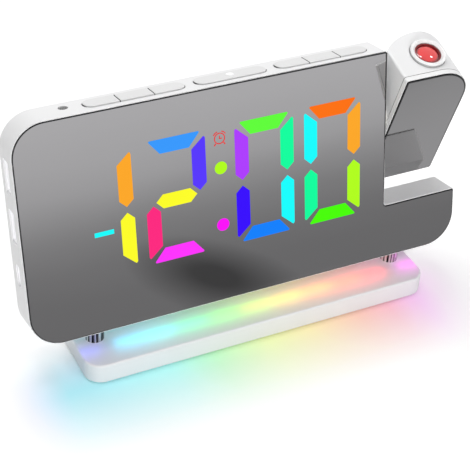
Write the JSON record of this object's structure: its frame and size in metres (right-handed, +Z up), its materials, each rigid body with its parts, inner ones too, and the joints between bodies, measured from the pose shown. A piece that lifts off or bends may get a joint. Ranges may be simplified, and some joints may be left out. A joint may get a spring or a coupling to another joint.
{
  "type": "projection alarm clock",
  "caption": "Leaning mirror-faced digital alarm clock on two posts and a base plate, with a tilting projector arm in a corner cut-out, a focusing lens and press keys along the top edge.",
  "frame": {"origin": "centre of the bounding box at the level of the feet", "axes": "+X along the clock's width, to the viewer's right; +Z up; the viewer stands at -Y"},
  "size_m": [0.2, 0.061, 0.1109],
  "materials": {
    "base_white": "gloss",
    "base_grey": "matt",
    "ballast_iron": "matt",
    "foot_rubber": "matt",
    "screw_steel": "satin",
    "post_chrome": "polished",
    "front_white": "gloss",
    "rear_white": "gloss",
    "body_mirror": "polished",
    "sensor_black": "matt",
    "key_white": "satin",
    "switch_black": "satin",
    "board_green": "satin",
    "board_white": "matt",
    "mask_black": "matt",
    "guide_frost": "matt",
    "socket_metal": "satin",
    "tongue_white": "matt",
    "inlet_metal": "satin",
    "glow_frost": "matt",
    "speaker_black": "matt",
    "cell_steel": "satin",
    "bush_white": "satin",
    "pivot_steel": "satin",
    "arm_white": "gloss",
    "bezel_white": "gloss",
    "arm_mirror": "polished",
    "ring_white": "satin",
    "optics_black": "matt",
    "cell_red": "satin",
    "lens_glass": "polished",
    "slide_glass": "polished",
    "condenser_glass": "polished"
  },
  "bodies": {
    "clock_body": {"base_shell": "base_white", "base_cover": "base_grey", "base_ballast": "ballast_iron", "foot_pads": "foot_rubber", "base_cover_screws": "screw_steel", "post_screws": "screw_steel", "board_screws": "screw_steel", "rear_screws": "screw_steel", "battery_door_screw": "screw_steel", "post_left": "post_chrome", "post_right": "post_chrome", "front_shell": "front_white", "rear_shell": "rear_white", "battery_door": "rear_white", "mirror_panel": "body_mirror", "sensor_mesh": "sensor_black", "tact_switches": "switch_black", "key_board": "board_green", "display_board": "board_green", "main_board": "board_green", "glow_board": "board_white", "light_mask": "mask_black", "light_guides": "guide_frost", "usb_sockets": "socket_metal", "usb_tongues": "tongue_white", "power_inlet": "inlet_metal", "glow_diffuser": "glow_frost", "speaker": "speaker_black", "battery_contact": "cell_steel", "coin_cell": "cell_steel", "pivot_bush": "bush_white"},
    "projector_arm": {"arm_housing": "arm_white", "arm_bezel": "bezel_white", "arm_mirror": "arm_mirror", "arm_screws": "screw_steel", "pivot_axle": "pivot_steel", "wave_washer": "pivot_steel", "retaining_clip": "pivot_steel", "friction_washer": "bush_white", "lens_tube": "optics_black", "optics_box": "optics_black", "time_slide": "slide_glass", "condenser_lens": "condenser_glass", "lamp_board": "board_green"},
    "focus_collar": {"focus_ring": "ring_white"},
    "lens_carrier": {"lens_cell": "cell_red", "projection_lens": "lens_glass"},
    "left_button_1": {"left_key_1": "key_white"},
    "left_button_2": {"left_key_2": "key_white"},
    "left_button_3": {"left_key_3": "key_white"},
    "snooze_button": {"snooze_key": "key_white"},
    "right_button_1": {"right_key_1": "key_white"},
    "right_button_2": {"right_key_2": "key_white"},
    "right_button_3": {"right_key_3": "key_white"}
  },
  "joints": [
    {"name": "projector_tilt", "type": "hinge", "parent": "clock_body", "child": "projector_arm", "pos_m": [0.0649, 0.00403, 0.07843], "axis": [1, 0, 0], "range_deg": [-118.9, 61.1]},
    {"name": "focus_turn", "type": "hinge", "parent": "projector_arm", "child": "focus_collar", "pos_m": [0.0823, -0.00233, 0.10694], "axis": [0, -0.3007, 0.9537], "range_deg": [-150, 150]},
    {"name": "lens_travel", "type": "slide", "parent": "projector_arm", "child": "lens_carrier", "axis": [0, -0.3007, 0.9537], "range_m": [-0.00105, 0.00105]},
    {"name": "left_key_1_press", "type": "slide", "parent": "clock_body", "child": "left_button_1", "axis": [0, -0.1977, -0.9803], "range_m": [0, 0.0007], "stiffness_N_per_m": 1200, "springref_m": -0.0003},
    {"name": "left_key_2_press", "type": "slide", "parent": "clock_body", "child": "left_button_2", "axis": [0, -0.1977, -0.9803], "range_m": [0, 0.0007], "stiffness_N_per_m": 1200, "springref_m": -0.0003},
    {"name": "left_key_3_press", "type": "slide", "parent": "clock_body", "child": "left_button_3", "axis": [0, -0.1977, -0.9803], "range_m": [0, 0.0007], "stiffness_N_per_m": 1200, "springref_m": -0.0003},
    {"name": "snooze_key_press", "type": "slide", "parent": "clock_body", "child": "snooze_button", "axis": [0, -0.1977, -0.9803], "range_m": [0, 0.0007], "stiffness_N_per_m": 1200, "springref_m": -0.0003},
    {"name": "right_key_1_press", "type": "slide", "parent": "clock_body", "child": "right_button_1", "axis": [0, -0.1977, -0.9803], "range_m": [0, 0.0007], "stiffness_N_per_m": 1200, "springref_m": -0.0003},
    {"name": "right_key_2_press", "type": "slide", "parent": "clock_body", "child": "right_button_2", "axis": [0, -0.1977, -0.9803], "range_m": [0, 0.0007], "stiffness_N_per_m": 1200, "springref_m": -0.0003},
    {"name": "right_key_3_press", "type": "slide", "parent": "clock_body", "child": "right_button_3", "axis": [0, -0.1977, -0.9803], "range_m": [0, 0.0007], "stiffness_N_per_m": 1200, "springref_m": -0.0003}
  ],
  "couplings": [
    {"joint": "lens_travel", "follows": "focus_turn", "m_per_rad": 0.00038197}
  ]
}
